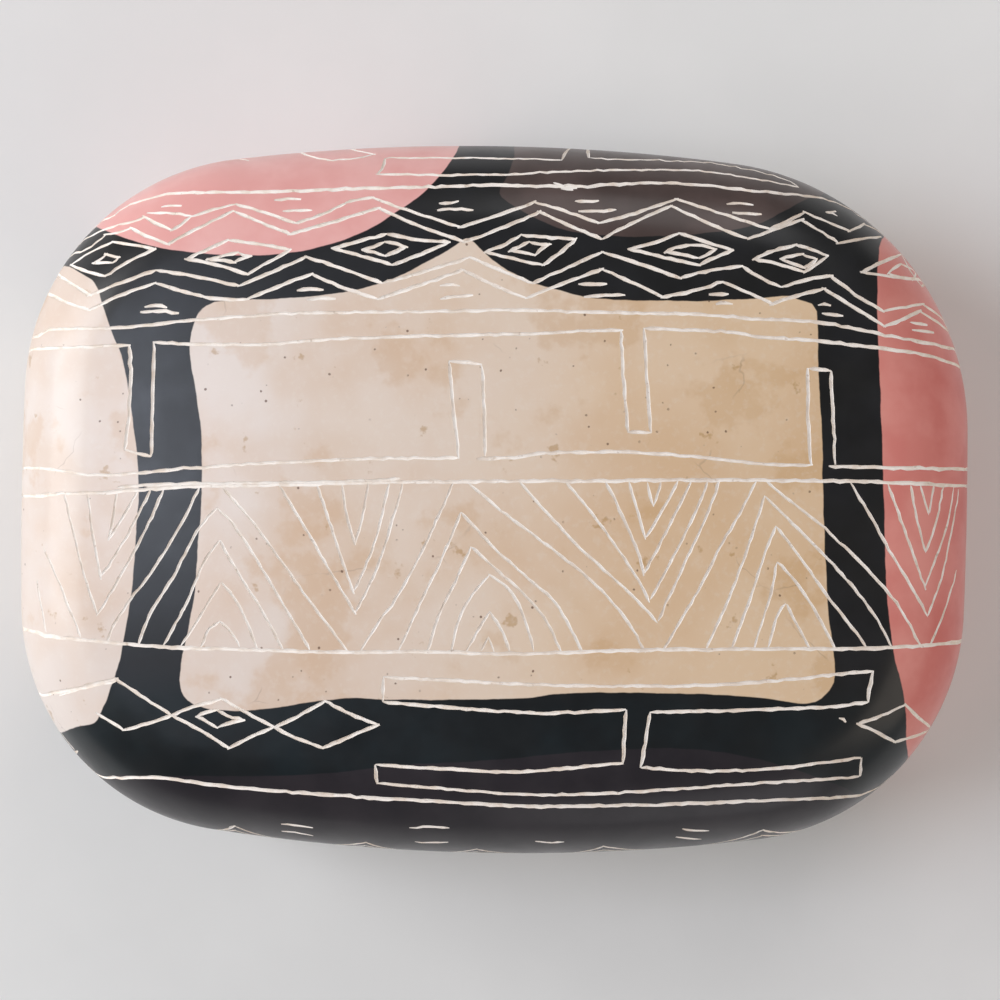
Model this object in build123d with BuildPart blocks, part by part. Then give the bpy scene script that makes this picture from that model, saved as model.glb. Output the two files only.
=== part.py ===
"""Soapstone trinket box: a hollowed base and a domed lid that lifts off.

The carver shapes one pillow-like block, saws it in two at the seam and hollows both halves.
A lip under the lid drops into the mouth of the base and keeps the lid from sliding.

Frame: millimetres, +Z up, origin on the table under the middle of the box.
+X runs along the long side and +Y towards the back.
"""

import math
import os

from build123d import *

# Outline of the block from above, at the seam, where it is widest.
length = 108.0
width = 81.0
long_side_radius = 228.0
short_side_radius = 530.0
front_left_radius = 26.0
front_right_radius = 27.0
back_right_radius = 31.0
back_left_radius = 27.5

# Side view of the block. The walls bulge gently and are taken in at the foot and under the crown.
base_height = 27.0
lid_height = 22.5
foot_inset = 2.4
crown_inset = 2.6
crown_radius = 260.0
crown_roll = 12.0
foot_roll = 9.0

# The two sawn faces, and their edges rubbed down so that the seam shows as a fine groove.
seam_softening = 0.5
mouth_softening = 0.6

# Hollow in the base.
rim_width = 7.5
floor_thickness = 7.0
hollow_lean = 3.0
hollow_floor_fillet = 7.0

# Lip under the lid, and the hollow inside it.
lip_clearance = 0.5
lip_height = 3.6
lip_thickness = 4.0
lip_lead_in = 0.7
lid_hollow_depth = 8.5
lid_hollow_fillet = 6.0

total_height = base_height + lid_height
seam = Plane.XY.offset(base_height)
lip_inset = rim_width + lip_clearance


def bowed_to(reach, radius, across):
    """Where a bowed side stands at a distance across from its middle, which is at reach."""
    return reach - radius + math.sqrt(radius**2 - across**2)


def unrounded_corner(inset):
    """Where a bowed long side and a bowed short side, both taken in, would meet with no rounding."""
    x, y = length / 2 - inset, width / 2 - inset
    for _ in range(20):
        x = bowed_to(length / 2 - inset, short_side_radius - inset, y)
        y = bowed_to(width / 2 - inset, long_side_radius - inset, x)
    return x, y


def outline(inset, height):
    """The block's outline at a height, taken in all round by inset."""
    x, y = unrounded_corner(inset)
    corner_radii = {
        (-x, -y): front_left_radius,
        (x, -y): front_right_radius,
        (x, y): back_right_radius,
        (-x, y): back_left_radius,
    }
    front_left, front_right, back_right, back_left = corner_radii
    with BuildSketch(Plane.XY.offset(height)) as face:
        with BuildLine():
            ThreePointArc(front_left, (0, inset - width / 2), front_right)
            ThreePointArc(front_right, (length / 2 - inset, 0), back_right)
            ThreePointArc(back_right, (0, width / 2 - inset), back_left)
            ThreePointArc(back_left, (inset - length / 2, 0), front_left)
        make_face()
        for corner, radius in corner_radii.items():
            fillet(face.vertices().sort_by_distance((*corner, height))[0], radius - inset)
    return face.sketch


# The whole block, before it is sawn in two.
with BuildPart() as block:
    add(outline(foot_inset, 0))
    add(outline(0, base_height))
    add(outline(crown_inset, total_height))
    loft()
    with Locations((0, 0, total_height - crown_radius)):
        Sphere(crown_radius, mode=Mode.INTERSECT)
    fillet(block.faces().sort_by(Axis.Z)[-1].edges(), crown_roll)
    fillet(block.faces().sort_by(Axis.Z)[0].edges(), foot_roll)

# The lower half, hollowed from its sawn face. The hollow narrows a little towards its floor.
with BuildPart() as base:
    add(block.part)
    split(bisect_by=seam, keep=Keep.BOTTOM)
    fillet(base.faces().sort_by(Axis.Z)[-1].edges(), seam_softening)
    add(outline(rim_width, base_height))
    extrude(amount=floor_thickness - base_height, taper=hollow_lean, mode=Mode.SUBTRACT)
    hollow_floor = base.faces().filter_by(Plane.XY).sort_by(Axis.Z)[1]
    fillet(hollow_floor.edges(), hollow_floor_fillet)
    sawn_face = base.faces().filter_by(Plane.XY).sort_by(Axis.Z)[-1]
    fillet(sawn_face.inner_wires()[0].edges(), mouth_softening)
base.part.label = "base"

# The upper half, with its lip and its own shallow hollow.
with BuildPart() as lid:
    add(block.part)
    split(bisect_by=seam, keep=Keep.TOP)
    fillet(lid.faces().sort_by(Axis.Z)[0].edges(), seam_softening)
    add(outline(lip_inset, base_height))
    extrude(amount=-lip_height)
    chamfer(lid.faces().sort_by(Axis.Z)[0].edges(), lip_lead_in)
    add(outline(lip_inset + lip_thickness, base_height - lip_height))
    extrude(amount=lip_height + lid_hollow_depth, mode=Mode.SUBTRACT)
    ceiling = lid.faces().filter_by(Plane.XY).sort_by(Axis.Z)[-1]
    fillet(ceiling.edges(), lid_hollow_fillet)
lid.part.label = "lid"

os.makedirs("parts", exist_ok=True)
export_step(base.part, "parts/base.step")
export_step(lid.part, "parts/lid.step")
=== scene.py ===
# %% [markdown]
# # A dyed and incised soapstone trinket box
# The real box starts as one pillow of soapstone. The carver saws it in two, hollows both halves,
# dyes the outside in patches and scratches the pattern through the dye into the pale stone.
# This lesson shapes the stone first, then cuts the scratches into it, and lays the dye last, as
# a material that knows where the patches are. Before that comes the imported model, because every
# piece has to lie where the model says.

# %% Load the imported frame
import math
import random

import bmesh
import bpy
import numpy as np
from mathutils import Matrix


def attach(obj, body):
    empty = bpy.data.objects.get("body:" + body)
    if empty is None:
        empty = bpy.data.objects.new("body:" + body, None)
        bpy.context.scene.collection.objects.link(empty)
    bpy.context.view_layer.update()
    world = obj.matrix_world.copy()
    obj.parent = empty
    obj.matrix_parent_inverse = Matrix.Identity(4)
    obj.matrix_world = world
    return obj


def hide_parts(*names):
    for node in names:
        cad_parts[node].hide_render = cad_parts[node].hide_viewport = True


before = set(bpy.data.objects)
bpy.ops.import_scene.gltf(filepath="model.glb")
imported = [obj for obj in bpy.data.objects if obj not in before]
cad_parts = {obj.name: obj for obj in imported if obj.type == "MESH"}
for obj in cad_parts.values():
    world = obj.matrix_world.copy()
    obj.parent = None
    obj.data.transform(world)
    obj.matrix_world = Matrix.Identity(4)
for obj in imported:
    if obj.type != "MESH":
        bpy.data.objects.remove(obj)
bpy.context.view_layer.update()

MM = 0.001

# %% [markdown]
# ## The sizes of the block
# These are the sizes that the model was made with, in millimetres. The block is widest at the
# seam, its four sides bow outwards, and each corner has a radius of its own, as handwork has.

# %% Name the sizes
LENGTH, WIDTH = 108.0, 81.0
LONG_SIDE_RADIUS, SHORT_SIDE_RADIUS = 228.0, 530.0
CORNER_RADII = (26.0, 27.0, 27.5, 31.0)     # front left, front right, back left, back right
SEAM, TOP = 27.0, 49.5
FOOT_INSET, CROWN_INSET = 2.4, 2.6
CROWN_RADIUS, CROWN_ROLL, FOOT_ROLL = 260.0, 12.0, 9.0
SEAM_SOFTENING, MOUTH_SOFTENING = 0.5, 0.6
RIM_WIDTH, FLOOR, HOLLOW_LEAN, HOLLOW_FILLET = 7.5, 7.0, 3.0, 7.0
LIP_INSET, LIP_HEIGHT, LIP_THICKNESS, LIP_LEAD_IN = 8.0, 3.6, 4.0, 0.7
LID_HOLLOW_DEPTH, LID_HOLLOW_FILLET = 8.5, 6.0
LONG_CENTRE = LONG_SIDE_RADIUS - WIDTH / 2      # how far past the middle a long side's centre lies
SHORT_CENTRE = SHORT_SIDE_RADIUS - LENGTH / 2

# %% [markdown]
# ## The surface as a distance
# A carved pillow has no flat faces to start from, so the shape is written as a rule: for any
# point in space, how far it lies outside the stone, and which way leads straight out. A vertex
# of any rough mesh can then be moved onto the stone, and the same rule gives the exact normal.
# First comes the outline seen from above, with its four bows and four rounded corners.


# %% Find the middle of each rounded corner
def corner_middle(radius):
    """The middle of a corner's arc: inside both bowed sides by the corner's own radius."""
    x, y = LENGTH / 2 - radius, WIDTH / 2 - radius
    for _ in range(20):
        x = math.sqrt((SHORT_SIDE_RADIUS - radius) ** 2 - y**2) - SHORT_CENTRE
        y = math.sqrt((LONG_SIDE_RADIUS - radius) ** 2 - x**2) - LONG_CENTRE
    return radius, x, y


corners = np.array([corner_middle(radius) for radius in CORNER_RADII]).T
print("corner middles, mm:", np.round(corners[1:].T, 2).tolist())


# %% Measure from the outline
def outline(x, y):
    """Distance outside the widest outline, and the direction straight out of it."""
    radius, middle_x, middle_y = corners[:, 2 * (y > 0) + (x > 0)]
    across, along = np.abs(x), np.abs(y)
    long_x, long_y = across, along + LONG_CENTRE
    short_x, short_y = across + SHORT_CENTRE, along
    in_corner = (long_x * (middle_y + LONG_CENTRE) > middle_x * long_y) & (
        short_y * (middle_x + SHORT_CENTRE) > middle_y * short_x
    )
    on_long = np.hypot(long_x, long_y) - LONG_SIDE_RADIUS > (
        np.hypot(short_x, short_y) - SHORT_SIDE_RADIUS
    )
    out_x = np.where(in_corner, across - middle_x, np.where(on_long, long_x, short_x))
    out_y = np.where(in_corner, along - middle_y, np.where(on_long, long_y, short_y))
    reach = np.where(in_corner, radius, np.where(on_long, LONG_SIDE_RADIUS, SHORT_SIDE_RADIUS))
    size = np.maximum(np.hypot(out_x, out_y), 1e-9)
    return size - reach, np.sign(x) * out_x / size, np.sign(y) * out_y / size


# %% [markdown]
# The walls bulge: they are taken in a little at the foot and under the crown. The crown is part
# of a large ball, and both edges are rounded as if a small ball had been rolled along them.


# %% Write the whole block as a distance
def rolled(one, other, ball):
    """What lies inside both surfaces, with their edge rounded by a ball rolled along it."""
    (d1, n1), (d2, n2) = one, other
    a, b = d1 + ball, d2 + ball
    cosine = np.sum(n1 * n2, axis=1)
    spread = np.maximum(1 - cosine**2, 1e-6)
    on_edge = (a > b * cosine) & (b > a * cosine)
    out = ((a - b * cosine) / spread)[:, None] * n1 + ((b - a * cosine) / spread)[:, None] * n2
    size = np.maximum(np.linalg.norm(out, axis=1), 1e-9)
    normal = np.where(on_edge[:, None], out / size[:, None], np.where((d1 > d2)[:, None], n1, n2))
    return np.where(on_edge, size - ball, np.maximum(d1, d2)), normal


bulge, slope, start = np.linalg.solve(
    [[0, 0, 1], [SEAM**2, SEAM, 1], [TOP**2, TOP, 1]], [FOOT_INSET, 0, CROWN_INSET]
)


def block(p):
    """Distance outside the whole block, and the direction straight out of it."""
    x, y, z = p.T
    d, out_x, out_y = outline(x, y)
    lean = 2 * bulge * z + slope
    steep = np.hypot(1, lean)
    outward = np.stack([out_x, out_y, lean], 1) / steep[:, None]
    wall = (d + bulge * z**2 + slope * z + start) / steep, outward
    from_middle = p - (0, 0, TOP - CROWN_RADIUS)
    size = np.linalg.norm(from_middle, axis=1)
    crown = size - CROWN_RADIUS, from_middle / size[:, None]
    foot = -z, np.tile((0.0, 0.0, -1.0), (len(p), 1))
    return rolled(rolled(wall, crown, CROWN_ROLL), foot, FOOT_ROLL)


def settle(p, level=False, rounds=8):
    """Moves points onto the block's skin, at their own height where level is True."""
    p = p.copy()
    keeps_height = np.broadcast_to(level, len(p))
    for _ in range(rounds):
        d, normal = block(p)
        normal[keeps_height, 2] = 0
        p -= (d / np.maximum(np.sum(normal**2, axis=1), 0.05))[:, None] * normal
    return p


def level_with(x, y, height):
    """The points on the skin at these heights, nearest to these places, and the normals there."""
    points = settle(np.stack(np.broadcast_arrays(x, y, height), 1), level=True)
    return points, block(points)[1]


nodes = [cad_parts[name] for name in ("base", "lid")]
cad_points = np.array([v.co[:] for shown in nodes for v in shown.data.vertices]) / MM
cad_points = cad_points[np.abs(cad_points[:, 2] - SEAM) > 2 * SEAM_SOFTENING]
skin_gap = np.abs(block(cad_points)[0])
print("model points on the skin:", int((skin_gap < 0.3).sum()), "of", len(cad_points),
      "largest gap among them, mm:", round(float(skin_gap[skin_gap < 0.3].max()), 3))

# %% [markdown]
# ## The two halves
# Each half starts as a box with one side open, cut into small squares. A box has no poles, so
# its squares stay even when they are moved onto the pillow. The open edge stays at its height,
# and everything inside it, the sawn face, the lip and the hollow, is extruded from there ring
# by ring, as a carver works inwards from the rim.

# %% Make the skin of a half
CELL = 0.9


def skin_of_half(bottom, top, open_height):
    """A box of small squares moved onto the block, open at one height."""
    bm = bmesh.new()
    bmesh.ops.create_cube(bm, size=1.0)
    bmesh.ops.scale(bm, vec=(LENGTH, WIDTH, top - bottom), verts=bm.verts)
    bmesh.ops.translate(bm, vec=(0, 0, (top + bottom) / 2), verts=bm.verts)
    lost = [f for f in bm.faces if all(abs(v.co.z - open_height) < 1e-4 for v in f.verts)]
    bmesh.ops.delete(bm, geom=lost, context="FACES_ONLY")
    for axis, size in enumerate((LENGTH, WIDTH, top - bottom)):
        along = [e for e in bm.edges if abs(e.verts[0].co[axis] - e.verts[1].co[axis]) > 1e-4]
        bmesh.ops.subdivide_edges(bm, edges=along, cuts=round(size / CELL) - 1, use_grid_fill=True)
    at = np.array([v.co[:] for v in bm.verts])
    rim = np.abs(at[:, 2] - open_height) < 1e-4
    for v, co in zip(bm.verts, settle(at, level=rim, rounds=30)):
        v.co = co
    return bm


# %% Extrude rings inwards from the rim
def profile(at, *legs):
    """Stations (inset, height) from a first place along legs. A leg is a place to go to straight
    and the step, or a place to reach on a quarter round, its number of steps and its middle."""
    stations = []
    for to, step, *middle in legs:
        if middle:
            for t in (math.pi / 2 * i / step for i in range(1, step + 1)):
                along = zip(at, middle[0], to)
                stations.append([m + (s - m) * math.cos(t) + (e - m) * math.sin(t) for s, m, e in along])
        else:
            count = max(1, round(math.dist(at, to) / step))
            for i in range(1, count + 1):
                stations.append([s + (e - s) * i / count for s, e in zip(at, to)])
        at = to
    return stations


def add_rings(bm, stations, finish):
    """Extrudes the open rim from station to station, and closes the last ring with one face."""
    loop = [e for e in bm.edges if e.is_boundary]
    for inset, height in stations:
        grown = bmesh.ops.extrude_edge_only(bm, edges=loop)["geom"]
        loop = [g for g in grown if isinstance(g, bmesh.types.BMEdge)]
        for face in (g for g in grown if isinstance(g, bmesh.types.BMFace)):
            face.material_index = finish
        ring = [g for g in grown if isinstance(g, bmesh.types.BMVert)]
        x, y = np.array([v.co[:2] for v in ring]).T
        for _ in range(6):
            d, out_x, out_y = outline(x, y)
            x, y = x - (d + inset) * out_x, y - (d + inset) * out_y
        for v, vx, vy in zip(ring, x, y):
            v.co = (vx, vy, height)
    cap = bmesh.ops.contextual_create(bm, geom=loop)["faces"]
    for face in cap:
        face.material_index = finish
    return cap


# %% [markdown]
# The last face of a hollow is one big flat face. It is sliced into a grid, so that the gouge
# marks that the carver leaves there can be real hollows. Each scoop is a soft dent one or two
# centimetres long and under half a millimetre deep.

# %% Slice and dent the floor of a hollow
GOUGE_DEPTH, GOUGES = 0.45, 210


def slice_cap(bm, cap, step=1.6):
    """Cuts a flat face into a grid."""
    faces = set(cap)
    for axis, half in ((0, LENGTH / 2), (1, WIDTH / 2)):
        for i in range(-int(half / step), int(half / step) + 1):
            geom = list(faces | {e for f in faces for e in f.edges} | {v for f in faces for v in f.verts})
            where = [0.0, 0.0, 0.0]
            where[axis] = i * step + 0.013
            normal = [float(k == axis) for k in range(3)]
            cut = bmesh.ops.bisect_plane(bm, geom=geom, dist=1e-5, plane_co=where, plane_no=normal)
            faces = {g for g in cut["geom"] if isinstance(g, bmesh.types.BMFace)}
    return faces


def gouge(bm, low, high, finish, away):
    """Dents the inside of a hollow between two heights with overlapping scoops."""
    dice = random.Random(7)
    inner = {v for f in bm.faces if f.material_index == finish for v in f.verts if low < v.co.z < high}
    inner = sorted(inner, key=lambda v: v.index)
    at = np.array([v.co[:] for v in inner])
    depth = np.zeros(len(at))
    for _ in range(GOUGES):
        x, y = dice.uniform(-LENGTH / 2, LENGTH / 2), dice.uniform(-WIDTH / 2, WIDTH / 2)
        turn, long, wide = dice.uniform(-0.5, 0.5), dice.uniform(6, 12), dice.uniform(2.6, 4.2)
        dx, dy = at[:, 0] - x, at[:, 1] - y
        u = (dx * math.cos(turn) + dy * math.sin(turn)) / long
        v = (dy * math.cos(turn) - dx * math.sin(turn)) / wide
        scoop = dice.uniform(0.4, 1.0) * np.clip(1 - u**2 - v**2, 0, 1)
        depth = np.maximum(depth, scoop)
    for v, d in zip(inner, depth):
        v.co.z += away * GOUGE_DEPTH * d


# %% Build both halves
def half_mesh(name, bm):
    """Turns a finished bmesh in millimetres into a closed mesh in metres."""
    bmesh.ops.remove_doubles(bm, verts=bm.verts, dist=1e-4)
    bmesh.ops.recalc_face_normals(bm, faces=bm.faces)
    bmesh.ops.scale(bm, vec=(MM, MM, MM), verts=bm.verts)
    mesh = bpy.data.meshes.new(name)
    bm.to_mesh(mesh)
    print(name, "faces:", len(bm.faces), "volume, cm3:", round(bm.calc_volume() * 1e6, 1),
          "open edges:", sum(not e.is_manifold for e in bm.edges))
    bm.free()
    return mesh


lean_at_floor = (SEAM - FLOOR) * math.tan(math.radians(HOLLOW_LEAN))
wall_foot = RIM_WIDTH + lean_at_floor * (SEAM - FLOOR - HOLLOW_FILLET) / (SEAM - FLOOR)
edge, mouth, corner = SEAM - SEAM_SOFTENING, SEAM - MOUTH_SOFTENING, FLOOR + HOLLOW_FILLET
base_stations = profile(
    (0, edge),
    ((SEAM_SOFTENING, SEAM), 4, (SEAM_SOFTENING, edge)),
    ((RIM_WIDTH - MOUTH_SOFTENING, SEAM), 1.6),
    ((RIM_WIDTH, mouth), 4, (RIM_WIDTH - MOUTH_SOFTENING, mouth)),
    ((wall_foot, corner), 1.4),
    ((wall_foot + HOLLOW_FILLET, FLOOR), 9, (wall_foot + HOLLOW_FILLET, corner)),
)
bm = skin_of_half(0, edge, edge)
slice_cap(bm, add_rings(bm, base_stations, 1))
gouge(bm, FLOOR - 0.1, FLOOR + 4.0, 1, -1)
base_mesh = half_mesh("stone_base", bm)

edge, lip_foot, ceiling = SEAM + SEAM_SOFTENING, SEAM - LIP_HEIGHT, SEAM + LID_HOLLOW_DEPTH
lip_inner, corner = LIP_INSET + LIP_THICKNESS, ceiling - LID_HOLLOW_FILLET
lid_stations = profile(
    (0, edge),
    ((SEAM_SOFTENING, SEAM), 4, (SEAM_SOFTENING, edge)),
    ((LIP_INSET, SEAM), 1.6),
    ((LIP_INSET, lip_foot + LIP_LEAD_IN), 1.4),
    ((LIP_INSET + LIP_LEAD_IN, lip_foot), 1.0),
    ((lip_inner, lip_foot), 1.6),
    ((lip_inner, corner), 1.4),
    ((lip_inner + LID_HOLLOW_FILLET, ceiling), 8, (lip_inner + LID_HOLLOW_FILLET, corner)),
)
bm = skin_of_half(edge, TOP, edge)
slice_cap(bm, add_rings(bm, lid_stations, 1))
gouge(bm, ceiling - 4.0, ceiling + 0.1, 1, 1)
lid_mesh = half_mesh("stone_lid", bm)

# %% [markdown]
# ## The camera, and the layout that it sees
# The photograph looks straight down on the lid. Everything on the lid was read from it as
# pixels of a 1000 by 1000 frame, so the camera's own geometry is also the ruler that puts a
# pixel on the stone. Past the edge that the camera sees, the layout is unrolled down the wall,
# one millimetre for one millimetre, so that dye and lines carry on towards the foot.

# %% Set up the view from above
FRAME_PIXELS = 1000
VIEW_HEIGHT = 400.0             # from the belt up to the camera
FRAME_WIDTH = 112.8             # what the frame spans at the height of the belt
BELT = 37.0                     # the height at which the skin turns out of sight
MIDDLE_PIXEL = (494.4, 499.5)   # where the middle of the box shows
ROLL = 0.017                    # the box lies turned a little clockwise
pixel = FRAME_WIDTH / FRAME_PIXELS
shift_x = (FRAME_PIXELS / 2 - MIDDLE_PIXEL[0]) * pixel
shift_y = -(FRAME_PIXELS / 2 - MIDDLE_PIXEL[1]) * pixel
rightward = np.array([math.cos(ROLL), math.sin(ROLL), 0.0])
upward = np.array([-math.sin(ROLL), math.cos(ROLL), 0.0])
eye = shift_x * rightward + shift_y * upward + (0, 0, BELT + VIEW_HEIGHT)
camera_data = bpy.data.cameras.new("camera")
camera_data.sensor_width = 36.0
camera_data.lens = camera_data.sensor_width * VIEW_HEIGHT / FRAME_WIDTH
camera = bpy.data.objects.new("camera", camera_data)
camera.location = tuple(eye * MM)
camera.rotation_euler = (0, 0, ROLL)
bpy.context.scene.collection.objects.link(camera)
bpy.context.scene.camera = camera


# %% Put pixels on the stone, and read a place on the stone as a pixel
def on_belt_plane(pixels):
    """Where the rays through these pixels cross the height of the belt."""
    u = (pixels[:, :1] - FRAME_PIXELS / 2) * pixel
    v = (FRAME_PIXELS / 2 - pixels[:, 1:]) * pixel
    return eye - (0, 0, VIEW_HEIGHT) + u * rightward + v * upward


def on_stone(pixels):
    """Points on the skin, and normals there, for pixels of the layout."""
    plane = on_belt_plane(np.asarray(pixels, float))
    seen = block(plane)[0] < 0
    ray = plane - eye
    ray /= np.linalg.norm(ray, axis=1)[:, None]
    hit = eye + ray * (VIEW_HEIGHT - 20)
    for _ in range(16):
        hit += ray * block(hit)[0][:, None]
    edge = settle(plane, level=True)
    below = edge.copy()
    below[:, 2] = np.maximum(BELT - np.linalg.norm((plane - edge)[:, :2], axis=1), 1.0)
    below = settle(below, level=True)
    points = np.where(seen[:, None], hit, below)
    return points, block(points)[1]


def as_pixels(points):
    """The pixels of the layout at which points on the skin lie."""
    level = points.copy()
    level[:, 2] = BELT
    low = points[:, 2] < BELT
    edge = settle(level, level=True)
    normal = block(edge)[1][:, :2]
    normal /= np.linalg.norm(normal, axis=1)[:, None]
    down = edge.copy()
    down[:, :2] += normal * (BELT - points[:, 2:3])
    ray = points - eye
    across = eye + ray * (VIEW_HEIGHT / np.maximum(-ray[:, 2:3], 1.0))
    flat = np.where(low[:, None], down, across) - eye
    return FRAME_PIXELS / 2 + np.stack([flat @ rightward, -(flat @ upward)], 1) / pixel


corner_pixels = as_pixels(on_stone([(40, 40), (960, 40), (500, 500)])[0])
print("pixels that went to the stone and back:", np.round(corner_pixels, 1).tolist())

# %% [markdown]
# ## The scratched pattern, as the carver drew it
# Each line is a cut with a hard point, drawn by hand, so a zigzag is a row of short straight
# cuts whose ends overrun a little, and a long line sways. Everything is given in pixels of the
# layout. Letters name the long lines from the back of the lid to the front.

# %% Draw the long lines and the frets
long_lines = {
    "a": [(80, 232), (112, 216), (127, 206), (158, 196), (182, 193), (260, 192), (316, 190), (370, 188),
          (430, 187), (480, 185), (536, 186), (590, 186), (651, 183), (700, 185), (756, 191), (795, 195),
          (822, 198), (850, 209), (884, 232)],
    "b": [(14, 344), (40, 335), (53, 329), (109, 328), (149, 325), (196, 320), (252, 316), (298, 313),
          (400, 312), (520, 310), (579, 312), (679, 314), (762, 319), (818, 322), (861, 330), (911, 340),
          (954, 349), (985, 358)],
    "c_left": [(10, 352), (36, 349), (80, 347), (131, 345)],
    "c_middle": [(153, 342), (189, 344), (265, 344), (332, 339), (420, 336), (520, 334), (579, 331),
                 (623, 330)],
    "c_right": [(644, 328), (729, 332), (762, 337), (818, 341), (878, 348), (928, 355), (957, 365),
                (990, 371)],
    "d_left": [(-20, 469), (30, 468), (60, 470), (89, 475), (139, 473), (202, 467), (265, 463), (332, 460),
               (398, 458), (459, 458)],
    "d_middle": [(476, 459), (520, 457), (546, 453), (613, 452), (679, 455), (762, 464), (812, 465)],
    "d_right": [(829, 466), (900, 468), (966, 469), (1010, 468)],
    "e": [(-60, 498), (26, 496), (53, 494), (99, 493), (136, 490), (199, 486), (279, 485), (398, 482),
          (520, 481), (579, 481), (712, 480), (822, 481), (883, 482), (967, 486), (1050, 488)],
    "e_again": [(118, 487), (170, 484), (240, 483), (330, 482), (400, 479)],
    "f": [(-50, 620), (31, 631), (50, 636), (106, 642), (139, 645), (186, 648), (265, 650), (332, 652),
          (431, 652), (520, 654), (546, 653), (646, 650), (778, 649), (891, 648), (962, 642), (1040, 634)],
    "g": [(78, 768), (99, 777), (159, 778), (232, 787), (332, 795), (431, 801), (520, 806), (579, 806),
          (679, 804), (778, 800), (845, 797), (870, 792), (896, 780)],
    "end_left": [(-60, 700), (20, 697), (70, 690), (116, 681)],
}
frets = {
    "back": [[(378, 174), (384, 165), (385, 158)], [(385, 158), (480, 158), (562, 160)],
             [(562, 160), (567, 151), (571, 146)]],
    "back_inner": [[(375, 174), (480, 175), (582, 171), (651, 170), (700, 171), (756, 179), (799, 187)],
                   [(799, 187), (789, 180)], [(791, 181), (756, 171), (718, 164), (700, 162), (589, 158)],
                   [(589, 158), (588, 145)]],
    "drop_left": [[(129, 345), (131, 372), (128, 418), (124, 450)], [(124, 450), (151, 457)],
                  [(151, 457), (153, 382), (154, 342)]],
    "drop_right": [[(621, 330), (624, 382), (628, 432)], [(628, 432), (651, 433)],
                   [(651, 433), (647, 380), (644, 328)]],
    "stem_middle": [[(459, 458), (454, 415), (449, 361)], [(449, 361), (482, 364)],
                    [(482, 364), (484, 410), (485, 457)]],
    "stem_right": [[(811, 465), (808, 420), (808, 368)], [(808, 368), (831, 371)],
                   [(831, 371), (835, 464)]],
    "front_back": [[(383, 677), (520, 684), (613, 686), (712, 685), (795, 679), (838, 674), (873, 671)],
                   [(873, 671), (868, 702)], [(868, 702), (828, 707), (745, 710), (650, 712)],
                   [(650, 712), (641, 768)], [(641, 768), (712, 771), (778, 768), (861, 758)],
                   [(861, 758), (860, 777)],
                   [(860, 777), (762, 783), (646, 791), (546, 795), (480, 792), (378, 783)],
                   [(377, 784), (375, 765)], [(375, 765), (448, 769), (520, 772), (623, 763)],
                   [(623, 763), (626, 710)], [(626, 710), (546, 713), (480, 710), (383, 702)],
                   [(383, 702), (383, 677)]],
}

# %% Draw the zigzags and the diamonds
zigzags = {
    "under_a": [(62, 246), (89, 237), (118, 225), (145, 217), (171, 230), (190, 217), (235, 204),
                (296, 223), (346, 203), (373, 198), (460, 227), (534, 202), (599, 223), (676, 199),
                (769, 229), (805, 212), (850, 231), (864, 224), (890, 240)],
    "over_diamonds": [(62, 258), (81, 252), (106, 234), (130, 228), (168, 244), (233, 211), (290, 234),
                      (378, 208), (465, 242), (539, 212), (602, 239), (671, 206), (747, 239), (801, 220),
                      (839, 243), (879, 237)],
    "under_diamonds": [(50, 270), (89, 295), (156, 270), (239, 286), (306, 257), (382, 283), (470, 257),
                       (533, 283), (602, 252), (680, 278), (742, 266), (781, 287), (831, 276), (883, 311),
                       (922, 304), (958, 330)],
    "over_b": [(40, 290), (89, 310), (155, 283), (204, 297), (247, 299), (311, 274), (378, 299), (463, 270),
               (526, 298), (602, 269), (663, 297), (722, 282), (772, 304), (824, 289), (884, 326),
               (919, 311), (956, 337)],
    "front_left": [(61, 695), (116, 679), (171, 715), (229, 748), (274, 727), (325, 701), (378, 725),
                   (323, 748), (274, 727), (222, 699), (171, 715), (123, 730), (98, 714)],
    "far_left": [(56, 732), (76, 752), (60, 768)],
}
diamonds = [
    [(295, 150), (329, 160), (374, 154), (338, 146)], [(71, 265), (113, 242), (155, 249), (105, 276)],
    [(93, 263), (106, 254), (119, 257), (112, 263)], [(186, 259), (228, 240), (290, 250), (247, 274)],
    [(207, 259), (238, 252), (251, 256), (234, 263)], [(332, 248), (387, 234), (449, 242), (393, 265)],
    [(362, 250), (385, 242), (406, 247), (385, 256)], [(485, 252), (521, 235), (576, 239), (543, 265)],
    [(510, 251), (530, 242), (550, 244), (535, 255)], [(629, 249), (679, 233), (733, 250), (699, 265)],
    [(666, 252), (691, 245), (716, 249), (699, 258)], [(754, 259), (796, 245), (828, 256), (804, 272)],
    [(781, 259), (802, 254), (817, 259), (804, 267)], [(862, 272), (902, 254), (922, 286), (926, 280)],
    [(889, 273), (901, 264), (917, 272), (913, 279)], [(196, 717), (217, 710), (244, 720), (217, 728)],
    [(858, 724), (906, 705), (933, 729), (894, 742)],
]
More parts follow.
